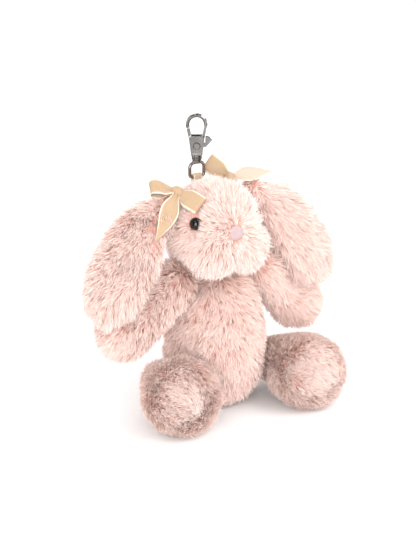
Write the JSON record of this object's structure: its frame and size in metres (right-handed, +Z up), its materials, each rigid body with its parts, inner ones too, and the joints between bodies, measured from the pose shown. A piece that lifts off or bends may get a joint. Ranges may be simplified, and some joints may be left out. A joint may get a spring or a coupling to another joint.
{
  "type": "plush keychain",
  "caption": "Small stuffed lop-eared bunny in pale pink fur with ribbon bows, hung from a trigger-snap clasp on a ribbon loop.",
  "frame": {"origin": "centre of the flat seat, on the surface the bunny sits on", "axes": "+Z up, the face looks towards -Y, its left paw is at +X"},
  "size_m": [0.1391, 0.0899, 0.1515],
  "materials": {
    "pink_fur": "long soft pile",
    "polyester_filling": "loose fibre",
    "pouch_cloth": "plain weave",
    "black_plastic": "polished",
    "white_plastic": "moulded",
    "mauve_thread": "satin stitch",
    "cream_velvet": "short pile with satin selvedges",
    "plated_zinc": "bright nickel plate",
    "spring_steel": "drawn wire"
  },
  "bodies": {
    "torso": {"head_skin": "pink_fur", "head_filling": "polyester_filling", "body_skin": "pink_fur", "body_filling": "polyester_filling", "pellet_pouch": "pouch_cloth", "tail_skin": "pink_fur", "tail_filling": "polyester_filling", "right_eye": "black_plastic", "left_eye": "black_plastic", "right_eye_washer": "white_plastic", "left_eye_washer": "white_plastic", "nose_embroidery": "mauve_thread", "hanging_loop": "cream_velvet", "right_bow_loops": "cream_velvet", "right_bow_knot": "cream_velvet", "right_bow_tail": "cream_velvet", "left_bow_loops": "cream_velvet", "left_bow_knot": "cream_velvet", "left_bow_tail": "cream_velvet"},
    "right_ear": {"right_ear": "pink_fur"},
    "left_ear": {"left_ear": "pink_fur"},
    "right_arm": {"right_arm_skin": "pink_fur", "right_arm_filling": "polyester_filling"},
    "left_arm": {"left_arm_skin": "pink_fur", "left_arm_filling": "polyester_filling"},
    "right_leg": {"right_leg_skin": "pink_fur", "right_leg_filling": "polyester_filling"},
    "left_leg": {"left_leg_skin": "pink_fur", "left_leg_filling": "polyester_filling"},
    "bail": {"swivel_eye": "plated_zinc"},
    "hook": {"clasp_hook": "plated_zinc", "gate_spring": "spring_steel", "gate_rivet": "plated_zinc"},
    "gate": {"clasp_gate": "plated_zinc"}
  },
  "joints": [
    {"name": "right_ear_flop", "type": "hinge", "parent": "torso", "child": "right_ear", "pos_m": [-0.02628, 0.00496, 0.10987], "axis": [0.6061, 0.4091, -0.6821], "range_deg": [0, 60]},
    {"name": "left_ear_flop", "type": "hinge", "parent": "torso", "child": "left_ear", "pos_m": [0.02628, 0.00496, 0.10987], "axis": [0.7173, -0.3586, 0.5974], "range_deg": [0, 60]},
    {"name": "right_arm_swing", "type": "hinge", "parent": "torso", "child": "right_arm", "pos_m": [-0.02569, -0.003, 0.07], "axis": [0.5361, 0, -0.8442], "range_deg": [-50, 25]},
    {"name": "left_arm_swing", "type": "hinge", "parent": "torso", "child": "left_arm", "pos_m": [0.02569, -0.003, 0.07], "axis": [0.6862, -0.143, 0.7132], "range_deg": [-30, 20]},
    {"name": "right_leg_lift", "type": "hinge", "parent": "torso", "child": "right_leg", "pos_m": [-0.0325, 0.001, 0.016], "axis": [-0.9023, 0, -0.4311], "range_deg": [0, 30]},
    {"name": "left_leg_lift", "type": "hinge", "parent": "torso", "child": "left_leg", "pos_m": [0.0325, 0.001, 0.016], "axis": [-0.9023, 0, 0.4311], "range_deg": [0, 30]},
    {"name": "bail_swing", "type": "hinge", "parent": "torso", "child": "bail", "pos_m": [-0.002, 0.015, 0.11848], "axis": [1, 0, 0], "range_deg": [-50, 50]},
    {"name": "hook_swivel", "type": "hinge", "parent": "bail", "child": "hook", "pos_m": [-0.002, 0.015, 0.13], "axis": [0, 0, 1], "continuous": true},
    {"name": "gate_press", "type": "hinge", "parent": "hook", "child": "gate", "pos_m": [-0.002, 0.015, 0.13508], "axis": [0.5, 0.866, 0], "range_deg": [0, 22], "stiffness_Nm_per_rad": 0.02, "springref_deg": -20.05, "deforming": ["gate_spring"]}
  ]
}
